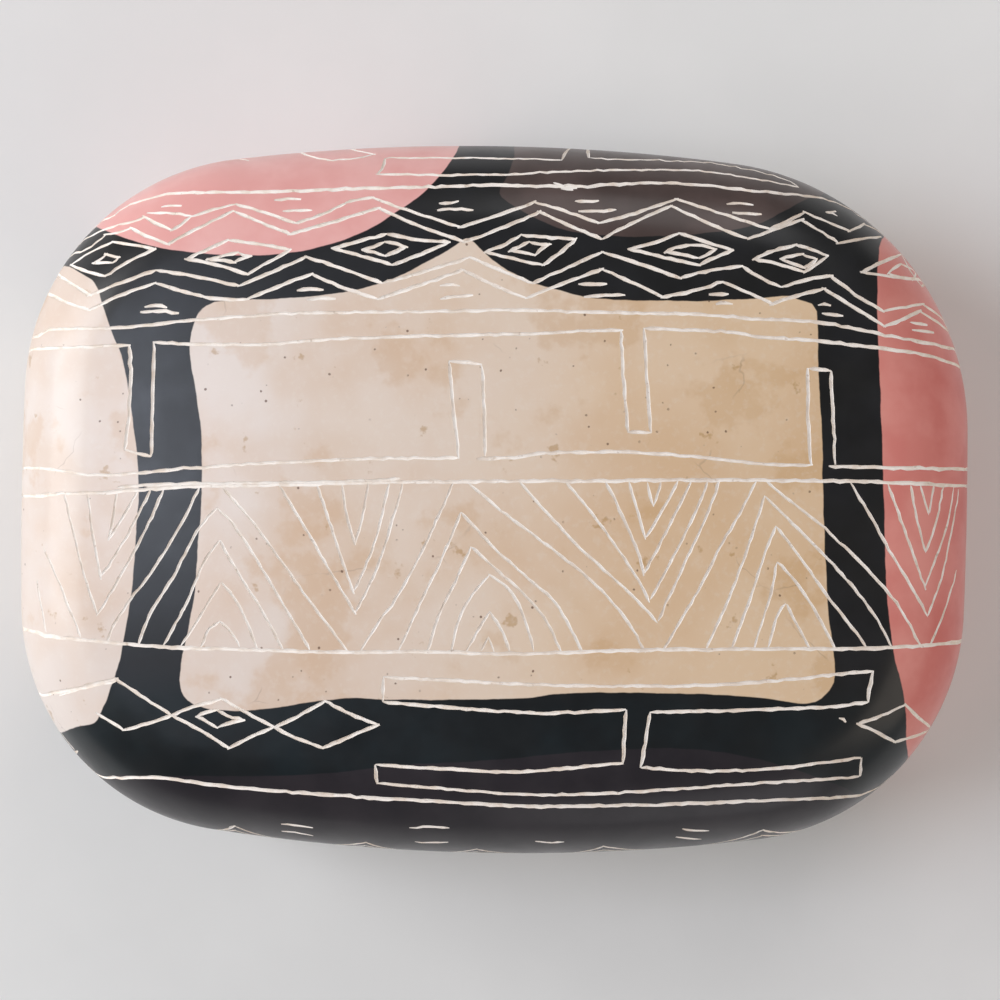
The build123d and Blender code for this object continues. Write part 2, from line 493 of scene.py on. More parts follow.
dashes = [
    [(162, 207), (181, 206)], [(148, 213), (191, 216)], [(275, 200), (301, 199)], [(283, 211), (312, 210)],
    [(439, 203), (458, 201)], [(437, 210), (473, 210)], [(576, 201), (598, 201)], [(579, 211), (616, 210)],
    [(727, 204), (753, 205)], [(733, 213), (761, 214)], [(826, 212), (836, 211)], [(827, 213), (837, 216)],
    [(145, 307), (167, 307)], [(140, 312), (178, 313)], [(297, 290), (323, 290)], [(306, 300), (335, 299)],
    [(440, 286), (460, 286)], [(441, 298), (473, 295)], [(579, 284), (607, 284)], [(585, 297), (625, 295)],
    [(709, 294), (728, 294)], [(716, 304), (732, 304)], [(818, 305), (831, 306)], [(822, 313), (843, 316)],
    [(910, 322), (927, 325)], [(913, 330), (934, 333)], [(282, 824), (312, 828)], [(282, 831), (313, 835)],
    [(410, 828), (449, 828)], [(416, 842), (448, 842)], [(535, 841), (563, 842)], [(682, 829), (709, 831)],
    [(676, 837), (701, 839)], [(553, 183), (577, 188)], [(561, 189), (573, 190)], [(839, 718), (845, 722)],
    [(227, 158), (250, 161)], [(247, 155), (264, 155)],
]

# %% [markdown]
# The wide band holds chevrons that point up and down in turn. Each arm is a cut of its own,
# drawn from the tip outwards and often a little bowed, up to the line above the band or down
# to the one below it. From the left end to the right:

# %% Draw the chevrons
chevrons = [
    [(108, 541), (113, 520), (117, 490)], [(107, 542), (122, 518), (138, 489)],
    [(101, 580), (94, 543), (87, 491)], [(101, 576), (125, 539), (151, 489)],
    [(97, 614), (84, 575), (73, 531), (64, 492)], [(96, 617), (118, 580), (148, 525), (164, 488)],
    [(200, 487), (179, 528), (150, 574), (131, 599), (115, 623), (106, 643)],
    [(44, 548), (54, 571), (66, 600), (81, 638)], [(37, 580), (41, 605), (46, 632)],
    [(217, 508), (199, 528), (173, 577), (151, 612), (138, 645)],
    [(217, 508), (234, 526), (258, 562), (310, 650)], [(220, 540), (203, 563), (188, 600), (164, 645)],
    [(220, 540), (234, 566), (259, 606), (283, 650)], [(221, 582), (208, 602), (196, 623), (181, 646)],
    [(221, 582), (235, 599), (247, 623), (257, 649)], [(220, 621), (208, 630), (201, 647)],
    [(219, 620), (231, 632), (240, 648)], [(222, 487), (241, 508), (262, 534), (303, 592), (348, 652)],
    [(355, 545), (347, 517), (342, 484)], [(355, 543), (363, 515), (368, 483)],
    [(354, 594), (336, 543), (317, 484)], [(354, 591), (373, 548), (389, 483)],
    [(356, 615), (331, 573), (303, 524), (279, 485)], [(356, 612), (380, 560), (403, 483)],
    [(454, 481), (425, 545), (397, 597), (380, 620), (360, 652)],
    [(461, 512), (442, 558), (420, 603), (398, 652)],
    [(461, 512), (493, 547), (530, 580), (557, 605), (583, 653)],
    [(471, 547), (452, 588), (438, 617), (427, 652)],
    [(470, 546), (503, 575), (527, 597), (547, 622), (561, 652)],
    [(489, 575), (470, 598), (458, 622), (451, 652)], [(488, 574), (508, 588), (522, 612), (534, 652)],
    [(490, 611), (477, 632), (466, 651)], [(489, 611), (500, 627), (510, 652)], [(488, 638), (481, 651)],
    [(488, 637), (494, 651)],
    [(467, 482), (503, 512), (547, 545), (587, 577), (613, 603), (633, 630), (645, 653)],
    [(654, 507), (650, 496), (647, 481)], [(654, 505), (658, 494), (661, 482)],
    [(646, 540), (639, 517), (629, 482)], [(646, 537), (661, 513), (678, 481)],
    [(644, 576), (640, 558), (623, 517), (606, 482)], [(644, 573), (664, 536), (691, 482)],
    [(650, 603), (640, 583), (620, 552), (597, 520), (566, 482)],
    [(650, 600), (678, 548), (700, 502), (708, 481)],
    [(658, 624), (640, 603), (613, 578), (580, 548), (547, 513), (520, 482)],
    [(658, 621), (684, 565), (711, 505), (719, 480)],
    [(757, 480), (736, 520), (720, 547), (700, 587), (662, 652)],
    [(765, 495), (750, 541), (732, 591), (706, 650)],
    [(765, 496), (800, 531), (823, 554), (848, 581), (873, 613), (893, 649)],
    [(776, 526), (766, 550), (750, 599), (732, 648)],
    [(776, 526), (796, 552), (829, 598), (848, 622), (867, 648)],
    [(777, 562), (771, 593), (761, 625), (754, 649)], [(777, 562), (793, 578), (814, 609), (836, 650)],
    [(786, 603), (777, 616), (768, 649)], [(786, 603), (796, 623), (810, 649)],
    [(765, 480), (789, 500), (821, 525), (857, 559), (886, 590), (902, 611), (922, 648)],
    [(928, 617), (907, 579), (887, 546), (870, 515), (850, 482)],
    [(928, 615), (939, 586), (948, 550), (959, 489)], [(926, 590), (905, 531), (888, 484)],
    [(925, 587), (938, 552), (948, 522), (954, 487)], [(926, 554), (917, 520), (911, 484)],
    [(926, 552), (936, 522), (944, 485)], [(929, 516), (920, 484)], [(929, 514), (934, 485)],
    [(930, 645), (944, 612), (957, 570)],
]

# %% [markdown]
# The photograph doesn't show the base. Boxes like this carry the same kind of work round their
# sides, so the base gets one band of it: border lines, a double zigzag between them, and a
# diamond with two dashes in each bay. It is laid out along the wall, as a distance round it and a
# height above the table.

# %% Find places round the wall
turn = np.linspace(0, 2 * math.pi, 721)
around = np.stack([(LENGTH / 2 + 9) * np.cos(turn), (WIDTH / 2 + 9) * np.sin(turn), np.full(721, SEAM)], 1)
around = settle(around, level=True, rounds=30)
walked = np.concatenate([[0], np.cumsum(np.linalg.norm(np.diff(around, axis=0), axis=1))])
GIRTH = float(walked[-1])
print("way round the wall, mm:", round(GIRTH, 1))


def on_wall(places):
    """Points on the wall, and normals there, for (distance round, height) in millimetres."""
    distance, height = np.asarray(places, float).T
    x = np.interp(distance % GIRTH, walked, around[:, 0])
    y = np.interp(distance % GIRTH, walked, around[:, 1])
    return level_with(x, y, height)


# %% [markdown]
# ## Cutting the lines
# A scratched line is a real groove here: a thin six-sided rod is laid along it, half sunk in the
# skin, and then cut out of the stone. The rod's thickness wavers, because the hand leans more
# or less on the point, and it thins out where the point is lifted. Rods that cross each other
# leave slivers when they are cut at once, so the rods are sorted into batches that don't touch.

# %% Turn readings into cuts
STEP = 0.72                     # mm between two points of a cut
hand = random.Random(11)


def smooth_through(points, per_span=6):
    """A smooth curve through the readings of a long line."""
    p = np.asarray(points, float)
    p = np.vstack([2 * p[0] - p[1], p, 2 * p[-1] - p[-2]])
    out = []
    for a, b, c, d in zip(p, p[1:], p[2:], p[3:]):
        for t in np.arange(per_span) / per_span:
            out.append(0.5 * (2 * b + (c - a) * t + (2 * a - 5 * b + 4 * c - d) * t**2
                              + (3 * b - a - 3 * c + d) * t**3))
    return np.array(out + [p[-2]])


def resample(points, step):
    """The same path with points an even step apart."""
    p = np.asarray(points, float)
    run = np.concatenate([[0], np.cumsum(np.hypot(*np.diff(p, axis=0).T))])
    at = np.linspace(0, run[-1], max(3, round(run[-1] / step) + 1))
    return np.stack([np.interp(at, run, p[:, 0]), np.interp(at, run, p[:, 1])], 1)


def cut(place, path, width, step, sway=0.04):
    """One cut: a path in the layout or on the wall, put on the stone, with a radius at each point."""
    path = resample(path, step * STEP)
    noise = np.array([hand.gauss(0, sway * step) for _ in range(2 * len(path))]).reshape(-1, 2)
    points, normals = place(path + noise)
    radius = np.array([width / 2 * hand.uniform(0.78, 1.22) for _ in path])
    radius[[0, -1]] *= 0.6
    lift = np.array([hand.uniform(-0.03, 0.05) for _ in path])
    lift[[0, -1]] += 0.06
    return points + normals * lift[:, None], radius


def straight_cuts(place, corners_at, width, step, closed=False, overrun=0.35):
    """A row of straight cuts between corners, each running a little past them."""
    ends = list(corners_at) + ([corners_at[0]] if closed else [])
    cuts = []
    for a, b in zip(ends, ends[1:]):
        a, b = np.array(a, float), np.array(b, float)
        way = (b - a) / max(np.hypot(*(b - a)), 1e-6) * step
        bend = np.array([-way[1], way[0]]) * hand.uniform(-0.2, 0.2)
        start_at = a - way * hand.uniform(0.0, overrun)
        end_at = b + way * hand.uniform(0.0, overrun)
        path = smooth_through([start_at, (a + b) / 2 + bend, end_at])
        cuts.append(cut(place, path, width, step, sway=0.03))
    return cuts


# %% [markdown]
# Near the edge a pixel covers a lot of wall, so the zigzags there are drawn on the wall itself.
# The photograph shows only the tips of the front one, and nothing of the one at the back.

# %% Draw the zigzags on the lid's wall
LID_BORDER = 30.4               # mm, a line round the lid just above the seam
front_tips = [(-31.8, 34.8), (-29.0, 40.2), (-20.6, 34.6), (-13.9, 40.6), (-6.8, 34.4), (-1.4, 40.4),
              (7.0, 34.8), (13.0, 40.8), (20.9, 34.6), (31.4, 40.6), (37.5, 35.2)]
back_tips = [(33.0, 33.2), (26.5, 36.5), (19.5, 33.0), (11.5, 36.3), (4.0, 33.1), (-4.5, 36.5),
             (-12.5, 33.0), (-20.5, 36.6), (-28.0, 33.1), (-33.5, 36.2)]


def on_side(front):
    """Puts (place along the side, height) in millimetres on the long wall at the front or back."""
    reach = -WIDTH / 2 if front else WIDTH / 2

    def place(at):
        along, height = np.asarray(at, float).T
        return level_with(along, reach, height)

    return place


# %% Collect the lid's cuts
PER_MM = 1 / pixel              # pixels of the layout in one millimetre
BROAD, MEDIUM, FINE = 0.48, 0.41, 0.34
lid_cuts = []
for name, path in long_lines.items():
    width = BROAD if name in ("a", "e", "f", "g") else MEDIUM
    lid_cuts.append(cut(on_stone, smooth_through(path), width, PER_MM))
for sides in frets.values():
    lid_cuts += [cut(on_stone, smooth_through(side), MEDIUM, PER_MM) for side in sides]
for path in zigzags.values():
    lid_cuts += straight_cuts(on_stone, path, MEDIUM, PER_MM)
for path in diamonds:
    lid_cuts += straight_cuts(on_stone, path, MEDIUM, PER_MM, closed=True, overrun=0.25)
for path in dashes:
    lid_cuts += straight_cuts(on_stone, path, MEDIUM, PER_MM, overrun=0.1)
for path in chevrons:
    lid_cuts.append(cut(on_stone, smooth_through(path), FINE, PER_MM, sway=0.03))
for tips, front, apart in ((front_tips, True, 1.7), (back_tips, False, 1.3)):
    for drop in (0.0, apart):
        lid_cuts += straight_cuts(on_side(front), [(x, z - drop) for x, z in tips], MEDIUM, 1.0)
border = [(GIRTH * i / 24, LID_BORDER + hand.uniform(-0.2, 0.2)) for i in range(24)]
border.append((GIRTH + 1.5, border[0][1] + 0.1))
lid_cuts.append(cut(on_wall, smooth_through(border), MEDIUM, 1.0))
print("cuts on the lid:", len(lid_cuts))

# %% Lay out the band round the base
BAYS = 14
bay = GIRTH / BAYS
base_cuts = []
for height, width in ((23.6, BROAD), (21.9, FINE), (8.8, FINE), (7.0, BROAD)):
    path = [(bay * i / 2, height + hand.uniform(-0.25, 0.25)) for i in range(2 * BAYS)]
    path.append((GIRTH + 1.5, path[0][1] + 0.1))
    base_cuts.append(cut(on_wall, smooth_through(path), width, 1.0))
for low, high in ((9.6, 18.6), (12.0, 21.0)):
    path = [(bay * i / 2 + hand.uniform(-0.6, 0.6), (low if i % 2 else high) + hand.uniform(-0.4, 0.4))
            for i in range(2 * BAYS)]
    base_cuts += straight_cuts(on_wall, path + [(GIRTH + path[0][0], path[0][1])], MEDIUM, 1.0)
for i in range(BAYS):
    x, y = bay * (i + 0.5), 17.6 + hand.uniform(-0.3, 0.3)
    wide, high = 5.6 + hand.uniform(-0.4, 0.4), 2.6 + hand.uniform(-0.2, 0.2)
    for part in (1.0, 0.48):
        rhomb = [(x - wide * part, y), (x, y - high * part), (x + wide * part, y), (x, y + high * part)]
        base_cuts += straight_cuts(on_wall, rhomb, MEDIUM, 1.0, closed=True, overrun=0.2)
    for k, half in enumerate((3.4, 2.0)):
        y = 11.0 + 1.3 * k + hand.uniform(-0.2, 0.2)
        dash = [(bay * i - half, y - 1.0), (bay * i + half, y - 0.9)]
        base_cuts += straight_cuts(on_wall, dash, MEDIUM, 1.0)
print("cuts on the base:", len(base_cuts))

# %% Make the rods and cut them out

def rods(name, cuts, material):
    """All the cuts of a half as one mesh of closed rods."""
    curve = bpy.data.curves.new(name, "CURVE")
    curve.dimensions = "3D"
    curve.bevel_depth = 1.0
    curve.bevel_resolution = 1
    curve.use_fill_caps = True
    for points, radius in cuts:
        spline = curve.splines.new("POLY")
        spline.points.add(len(points) - 1)
        for knot, at, r in zip(spline.points, points * MM, radius * MM):
            knot.co = (*at, 1)
            knot.radius = r
    holder = bpy.data.objects.new(name, curve)
    bpy.context.scene.collection.objects.link(holder)
    mesh = bpy.data.meshes.new_from_object(holder.evaluated_get(bpy.context.evaluated_depsgraph_get()))
    bpy.data.objects.remove(holder)
    bpy.data.curves.remove(curve)
    bm = bmesh.new()
    bm.from_mesh(mesh)
    bmesh.ops.remove_doubles(bm, verts=bm.verts, dist=1e-7)
    bmesh.ops.recalc_face_normals(bm, faces=bm.faces)
    bm.to_mesh(mesh)
    bm.free()
    mesh.materials.clear()
    mesh.materials.append(material)
    return mesh


def batches_of(cuts, gap=0.9):
    """Sorts the cuts into batches in which no two come near each other."""
    boxes = [(points.min(axis=0) - gap, points.max(axis=0) + gap) for points, _ in cuts]
    batches = []
    for i, (points, _) in enumerate(cuts):
        low, high = boxes[i]
        for batch in batches:
            close = (
                j for j in batch if (boxes[j][0] < high).all() and (boxes[j][1] > low).all()
                and (np.linalg.norm(points[:, None] - cuts[j][0][None], axis=2).min() < gap + STEP)
            )
            if next(close, None) is None:
                batch.append(i)
                break
        else:
            batches.append([i])
    return [[cuts[i] for i in batch] for batch in batches]


def scratched(name, mesh, cuts, materials):
    """The half with its lines cut out, as an object. Lines that cross are cut one after another."""
    dyed, bare, scratch = materials
    mesh.materials.append(dyed)
    mesh.materials.append(bare)
    piece = bpy.data.objects.new(name, mesh)
    bpy.context.scene.collection.objects.link(piece)
    knives = []
    for i, batch in enumerate(batches_of(cuts)):
        knife = bpy.data.objects.new("rods", rods(f"rods_{i}", batch, scratch))
        bpy.context.scene.collection.objects.link(knife)
        boolean = piece.modifiers.new("lines", "BOOLEAN")
        boolean.operation, boolean.solver, boolean.material_mode = "DIFFERENCE", "MANIFOLD", "TRANSFER"
        boolean.object = knife
        knives.append(knife)
    result = bpy.data.meshes.new_from_object(piece.evaluated_get(bpy.context.evaluated_depsgraph_get()))
    piece.modifiers.clear()
    old = [piece.data] + [knife.data for knife in knives]
    piece.data = result
    for knife in knives:
        bpy.data.objects.remove(knife)
    for spent in old:
        bpy.data.meshes.remove(spent)
    result.name = name
    print(name, "batches:", len(knives), "faces:", len(result.polygons),
          "triangles:", sum(len(f.vertices) - 2 for f in result.polygons),
          "materials:", [m.name for m in result.materials])
    return piece


# %% [markdown]
# ## The dye
# The dye is brushed on in patches: cream where the stone is left nearly bare, black, a pink red
# and a dull aubergine. A patch keeps a soft brushed outline. Each vertex is told how far inside
# the patches of a colour it lies, as an attribute, and the material turns that distance into a
# crisp wavering edge. The outlines are pixels of the layout, and run well past the belt where
# a patch carries on down the wall.

# %% Draw the patches
patches = {
    "cream": [
        [(196, 319), (191, 332), (189, 347), (192, 372), (197, 398), (201, 425), (202, 458), (201, 516),
         (197, 550), (196, 583), (191, 616), (187, 636), (181, 662), (179, 682), (182, 694), (192, 704),
         (212, 710), (239, 711), (265, 709), (298, 704), (332, 699), (365, 698), (398, 700), (520, 699),
         (546, 695), (596, 692), (646, 693), (712, 694), (745, 696), (778, 700), (802, 704), (818, 702),
         (831, 690), (836, 679), (833, 649), (827, 599), (825, 550), (823, 500), (822, 432), (820, 398),
         (818, 365), (817.5, 315), (816, 306), (806, 301), (798, 299), (790, 295), (778, 296), (759, 298),
         (712, 301), (646, 301), (596, 299), (563, 292), (530, 282), (500, 267), (478, 246), (468, 236),
         (451, 249), (414, 269), (381, 284), (348, 292), (315, 296), (282, 299), (232, 300), (212, 302),
         (200, 309)],
        [(68, 266), (82, 274), (93, 280), (98, 290), (101, 300), (106, 315), (114, 339), (121, 352),
         (126, 375), (131, 405), (134, 432), (138, 458), (139, 498), (136, 533), (133, 583), (126, 629),
         (121, 656), (113, 682), (103, 709), (96, 724), (76, 727), (63, 732), (-90, 800), (-240, 830),
         (-420, 900), (-420, 500), (-420, 120), (-220, 190), (-60, 240), (30, 258)],
    ],
    "pink": [
        [(98, 228), (126, 239), (159, 248), (199, 253), (242, 256), (275, 255), (315, 249), (348, 239),
         (375, 226), (398, 211), (424, 193), (444, 171), (461, 146), (470, 60), (462, -60), (480, -330),
         (200, -380), (-330, -330), (-330, -60), (-160, 40), (0, 160), (60, 205)],
        [(880, 236), (878, 266), (877, 315), (880, 382), (882, 432), (884, 498), (885, 559), (888, 616),
         (894, 656), (903, 689), (906, 715), (907, 762), (960, 850), (1080, 1010), (1250, 1300),
         (1500, 1100), (1500, 500), (1500, -60), (1250, -60), (1080, 60), (940, 190)],
    ],
    "aubergine": [
        [(516, 150), (508, 176), (497, 193), (513, 206), (546, 224), (579, 234), (629, 237), (679, 236),
         (729, 231), (762, 224), (788, 209), (805, 199), (818, 196), (825, 194), (860, 150), (930, 40),
         (1050, -90), (1100, -330), (800, -400), (500, -330), (530, -60), (510, 60)],
        [(103, 775), (149, 776), (282, 776), (332, 773), (365, 769), (398, 765), (464, 762), (520, 758),
         (563, 753), (613, 750), (662, 748), (696, 749), (729, 753), (762, 760), (785, 767), (805, 773),
         (838, 785), (855, 792), (880, 830), (900, 960), (930, 1330), (500, 1420), (60, 1330), (-120, 1180),
         (-60, 960), (40, 830)],
    ],
}


# %% Measure how far a place lies inside a patch
def rounded(points):
    """The outline with its corners cut twice, which turns straight readings into a brushed edge."""
    p = np.asarray(points, float)
    for _ in range(2):
        q = np.roll(p, -1, axis=0)
        p = np.stack([0.8 * p + 0.2 * q, 0.2 * p + 0.8 * q], 1).reshape(-1, 2)
    return p


def depth_inside(places, points):
    """Distance to the outline, positive inside it, for many places at once."""
    best = np.full(len(places), 1e9)
    inside = np.zeros(len(places), bool)
    p = rounded(points)
    x, y = places.T
    for (ax, ay), (bx, by) in zip(p, np.roll(p, -1, axis=0)):
        vx, vy = bx - ax, by - ay
        t = np.clip(((x - ax) * vx + (y - ay) * vy) / max(vx * vx + vy * vy, 1e-9), 0, 1)
        best = np.minimum(best, np.hypot(x - ax - t * vx, y - ay - t * vy))
        if ay != by:
            inside ^= ((ay > y) != (by > y)) & (x < ax + (y - ay) / (by - ay) * vx)
    return np.where(inside, best, -best)


def write_dye(mesh):
    """Stores on each vertex how many millimetres inside each colour's patches it lies."""
    at = np.empty(3 * len(mesh.vertices), np.float32)
    mesh.vertices.foreach_get("co", at)
    places = as_pixels(at.reshape(-1, 3) / MM)
    for colour, outlines in patches.items():
        depth = np.max([depth_inside(places, points) for points in outlines], axis=0) * pixel
        layer = mesh.attributes.new(colour, "FLOAT", "POINT")
        layer.data.foreach_set("value", depth.astype(np.float32))


# %% [markdown]
# ## Shading across the cuts
# Cutting thousands of small faces into a smooth skin upsets its averaged normals, and gloss
# shows that as dents. The rule that placed the skin also knows its true normal, so every
# corner of a skin face is given that one. Faces of the grooves keep their own.

# %% Give the skin its true normals
def true_normals(mesh):
    """Exact normals on the dyed skin, flat ones in the grooves, averaged ones elsewhere."""
    corner_vertex = np.empty(len(mesh.loops), np.int32)
    mesh.loops.foreach_get("vertex_index", corner_vertex)
    at = np.empty(3 * len(mesh.vertices), np.float32)
    mesh.vertices.foreach_get("co", at)
    smooth = block(at.reshape(-1, 3).astype(float) / MM)[1]
    finish = np.empty(len(mesh.polygons), np.int32)
    sizes = np.empty(len(mesh.polygons), np.int32)
    mesh.polygons.foreach_get("material_index", finish)
    mesh.polygons.foreach_get("loop_total", sizes)
    mesh.shade_smooth()
    mesh.set_sharp_from_angle(angle=math.radians(40))
    own = np.array([c.vector[:] for c in mesh.corner_normals])
    on_skin = np.repeat(finish == 0, sizes)
    mesh.normals_split_custom_set(np.where(on_skin[:, None], smooth[corner_vertex], own).tolist())

# %% [markdown]
# ## Materials
# Soapstone is mostly talc: soft, a little waxy, and cloudy with faint veins and rusty specks.
# The dyes sink into it, so the stone's clouds show through them faintly, and the outside is
# rubbed with wax. Colours are written as on a screen and turned linear by one function.

# %% Helpers for nodes and colours
def linear(code):
    """A screen colour such as d8c8b8 as a linear colour with alpha."""
    channels = [int(code[i:i + 2], 16) / 255 for i in (0, 2, 4)]
    return tuple(c / 12.92 if c <= 0.04045 else ((c + 0.055) / 1.055) ** 2.4 for c in channels) + (1.0,)


def node(tree, kind, settings=None, out=0, **links):
    """Adds a node with its settings, and gives back one of its outputs. Each link names an input,
    or its number after an i, and gives it a value, a colour code or another node's output."""
    made = tree.nodes.new("ShaderNode" + kind)
    for key, value in (settings or {}).items():
        setattr(made, key, value)
    for key, value in links.items():
        socket = made.inputs[int(key[1:])] if key[1:].isdigit() else made.inputs[key.replace("_", " ")]
        if isinstance(value, bpy.types.NodeSocket):
            tree.links.new(value, socket)
        else:
            socket.default_value = linear(value) if isinstance(value, str) else value
    return made.outputs[out] if made.outputs else made


def new_material(name):
    """A material, its empty tree of nodes, and the place of each point on its object."""
    material = bpy.data.materials.new(name)
    material.use_nodes = True
    tree = material.node_tree
    tree.nodes.clear()
    return material, tree, node(tree, "TexCoord", out="Object")


COLOURS = {"data_type": "RGBA"}                     # a Mix of colours: i0 how much, i6 one, i7 other
SOFT = {"interpolation_type": "SMOOTHSTEP"}         # a Map Range with a soft step between two values
TIMES, PLUS = {"operation": "MULTIPLY"}, {"operation": "ADD"}
TIMES_PLUS = {"operation": "MULTIPLY_ADD"}

# %% [markdown]
# Seen close, the stone is cloudy, with soft tan patches, rusty stains and pale grains of talc.
# Each of those is a noise of the right size, in millimetres, and only its peaks are coloured.
# Veins are the borders between large bent cells, and dark specks are the middles of small ones.

# %% Natural soapstone
def stone_colour(tree, place, pale, warm, tan):
    """The colour of cloudy soapstone, from a pale, a warm and a tan colour."""
    clouds = node(tree, "TexNoise", Vector=place, Scale=1 / (20 * MM), Detail=4.0, Roughness=0.55)
    stone = node(tree, "Mix", COLOURS, 2, i0=node(tree, "MapRange", SOFT, i0=clouds, i1=0.40, i2=0.66),
                 i6=pale, i7=warm)
    for size, detail, low, high, share, colour in (
        (28.0, 3.0, 0.49, 0.60, 0.24, tan),
        (13.0, 5.0, 0.54, 0.61, 0.28, tan),
        (3.6, 4.0, 0.655, 0.71, 0.50, "b08440"),
        (0.8, 3.0, 0.50, 0.72, 0.16, "f0e6dc"),
    ):
        lumps = node(tree, "TexNoise", Vector=place, Scale=1 / (size * MM), Detail=detail, Roughness=0.6)
        peaks = node(tree, "MapRange", SOFT, i0=lumps, i1=low, i2=high, i4=share)
        stone = node(tree, "Mix", COLOURS, 2, i0=peaks, i6=stone, i7=colour)

    push = node(tree, "TexNoise", out="Color", Vector=place, Scale=1 / (5 * MM), Detail=3.0)
    push = node(tree, "VectorMath", {"operation": "SUBTRACT"}, i0=push, i1=(0.5, 0.5, 0.5))
    push = node(tree, "VectorMath", {"operation": "SCALE"}, i0=push, Scale=4 * MM)
    bent = node(tree, "VectorMath", PLUS, i0=place, i1=push)
    border = node(tree, "TexVoronoi", {"feature": "DISTANCE_TO_EDGE"}, "Distance", Vector=bent,
                  Scale=1 / (24 * MM))
    vein = node(tree, "MapRange", SOFT, i0=border, i1=0.005, i2=0.001, i4=0.25)
    lumps = node(tree, "TexNoise", Vector=place, Scale=1 / (9 * MM))
    vein = node(tree, "Math", TIMES, i0=vein, i1=node(tree, "MapRange", SOFT, i0=lumps, i1=0.56, i2=0.64))
    stone = node(tree, "Mix", COLOURS, 2, i0=vein, i6=stone, i7="8d7460")

    middle = node(tree, "TexVoronoi", out="Distance", Vector=place, Scale=1 / (1.5 * MM))
    grit = node(tree, "TexNoise", Vector=place, Scale=1 / (0.4 * MM))
    ragged = node(tree, "Math", TIMES_PLUS, i0=grit, i1=0.12, i2=middle)
    speck = node(tree, "MapRange", SOFT, i0=ragged, i1=0.18, i2=0.12, i4=0.85)
    lumps = node(tree, "TexNoise", Vector=place, Scale=1 / (2.6 * MM))
    speck = node(tree, "Math", TIMES, i0=speck, i1=node(tree, "MapRange", SOFT, i0=lumps, i1=0.48, i2=0.58))
    return node(tree, "Mix", COLOURS, 2, i0=speck, i6=stone, i7="6a4a36")


RUBBED = ("d0c6ba", "c8b7a3", "ba9a78")
bare, tree, place = new_material("rubbed_bare_soapstone")
streaks = node(tree, "Mapping", Vector=place, Rotation=(0, 0, 0.5), Scale=(0.25, 1.6, 1.0))
streaks = node(tree, "TexNoise", Vector=streaks, Scale=1 / MM, Detail=5.0, Roughness=0.6)
shader = node(tree, "BsdfPrincipled", Base_Color=stone_colour(tree, place, *RUBBED), Roughness=0.62, IOR=1.55,
              Normal=node(tree, "Bump", Strength=0.6, Distance=0.2 * MM, Height=streaks))
node(tree, "OutputMaterial", Surface=shader)

# %% [markdown]
# The scratches lay open fresh stone. It is powdery, so it looks nearly white and has no gloss,
# and here and there dirt has settled in it.

# %% Freshly scratched soapstone
scratch, tree, place = new_material("scratched_powdery_soapstone")
lumps = node(tree, "TexNoise", Vector=place, Scale=1 / (1.6 * MM), Detail=3.0, Roughness=0.55)
powder = node(tree, "Mix", COLOURS, 2, i0=node(tree, "MapRange", SOFT, i0=lumps, i1=0.40, i2=0.66),
              i6="fbf4ed", i7="efe3d7")
lumps = node(tree, "TexNoise", Vector=place, Scale=1 / (0.7 * MM), Detail=4.0, Roughness=0.55)
dirt = node(tree, "MapRange", SOFT, i0=lumps, i1=0.62, i2=0.72, i4=0.4)
powder = node(tree, "Mix", COLOURS, 2, i0=dirt, i6=powder, i7="b59a80")
crumbs = node(tree, "TexNoise", Vector=place, Scale=1 / (0.35 * MM), Detail=3.0, Roughness=0.55)
shader = node(tree, "BsdfPrincipled", Base_Color=powder, Roughness=0.92, IOR=1.5, Specular_IOR_Level=0.25,
              Normal=node(tree, "Bump", Strength=0.5, Distance=0.06 * MM, Height=crumbs))
node(tree, "OutputMaterial", Surface=shader)

# %% [markdown]
# The outside reads the three distances. An edge is crisp, about a tenth of a millimetre, and
# wavers with the brush. The cream patches show the stone itself, paler and cooler at the left end
# and warmer and more tan towards the right end of the box. That change is partly the stone's own
# tone and partly painted light: the paler left end is painted light from the window lamp, and the
# darker tan towards the right is painted shade where the light falls off. The foot is left undyed
# where the box stands.

# %% Stone under the wax
dyed, tree, place = new_material("dyed_waxed_soapstone_with_painted_light")
to_right = node(tree, "SeparateXYZ", Vector=place)
to_back = node(tree, "SeparateXYZ", out=1, Vector=place)
upwards = node(tree, "SeparateXYZ", out=2, Vector=place)
# painted light, along with the stone's own tone: the cooler, paler stone is mixed in at the left end as
# painted window light, and the warmer tan towards the right as painted shade where the light falls off
cool_stone_with_painted_light = stone_colour(tree, place, "e9dbd2", "e4cebe", "cfa273")
warm = stone_colour(tree, place, "e8caa8", "e0bd96", "c69655")
tone_drift_and_painted_falloff = node(tree, "TexNoise", Vector=place, Scale=1 / (30 * MM), Detail=3.0, Roughness=0.55)
tone_drift_and_painted_falloff = node(tree, "Math", TIMES_PLUS, i0=tone_drift_and_painted_falloff, i1=40 * MM, i2=to_right)
stone = node(tree, "Mix", COLOURS, 2, i0=node(tree, "MapRange", SOFT, i0=tone_drift_and_painted_falloff, i1=-16 * MM, i2=52 * MM),
             i6=cool_stone_with_painted_light, i7=warm)
